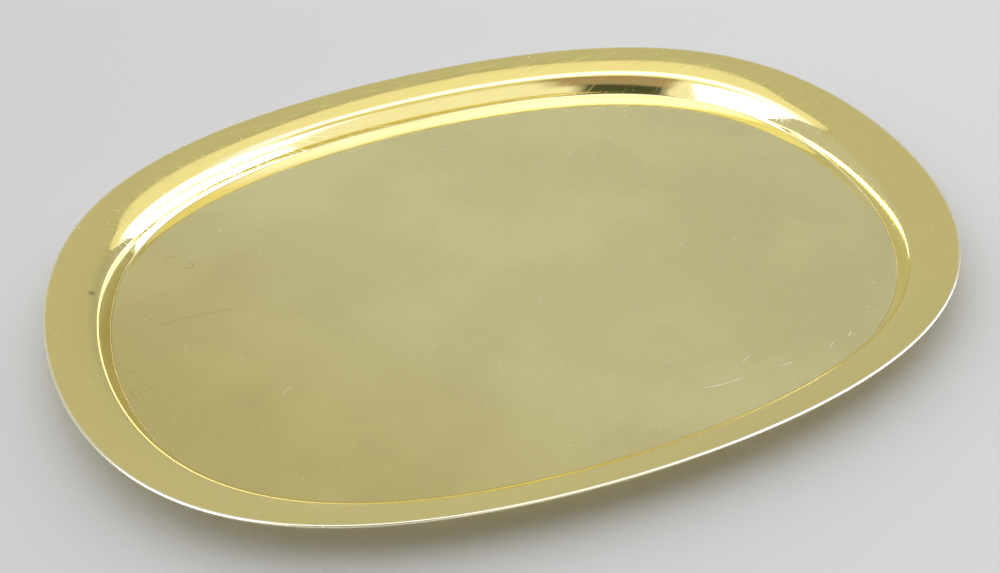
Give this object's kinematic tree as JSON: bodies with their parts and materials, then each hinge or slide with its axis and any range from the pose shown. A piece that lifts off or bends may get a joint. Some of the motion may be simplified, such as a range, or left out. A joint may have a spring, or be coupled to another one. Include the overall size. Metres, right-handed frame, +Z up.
{
  "type": "tray",
  "caption": "Shallow oval serving tray pressed from one brass sheet: flat mirror floor, steep low wall, broad rising rim with a rounded edge.",
  "frame": {"origin": "middle of the flat underside, where the tray rests on a table", "axes": "+X along the tray's length, +Y across it, +Z up out of the open side"},
  "size_m": [0.41, 0.308, 0.0178],
  "materials": {
    "polished_brass": "polished, with fine hairline scratches and light tarnish"
  },
  "bodies": {
    "root": {"tray": "polished_brass"}
  },
  "joints": []
}
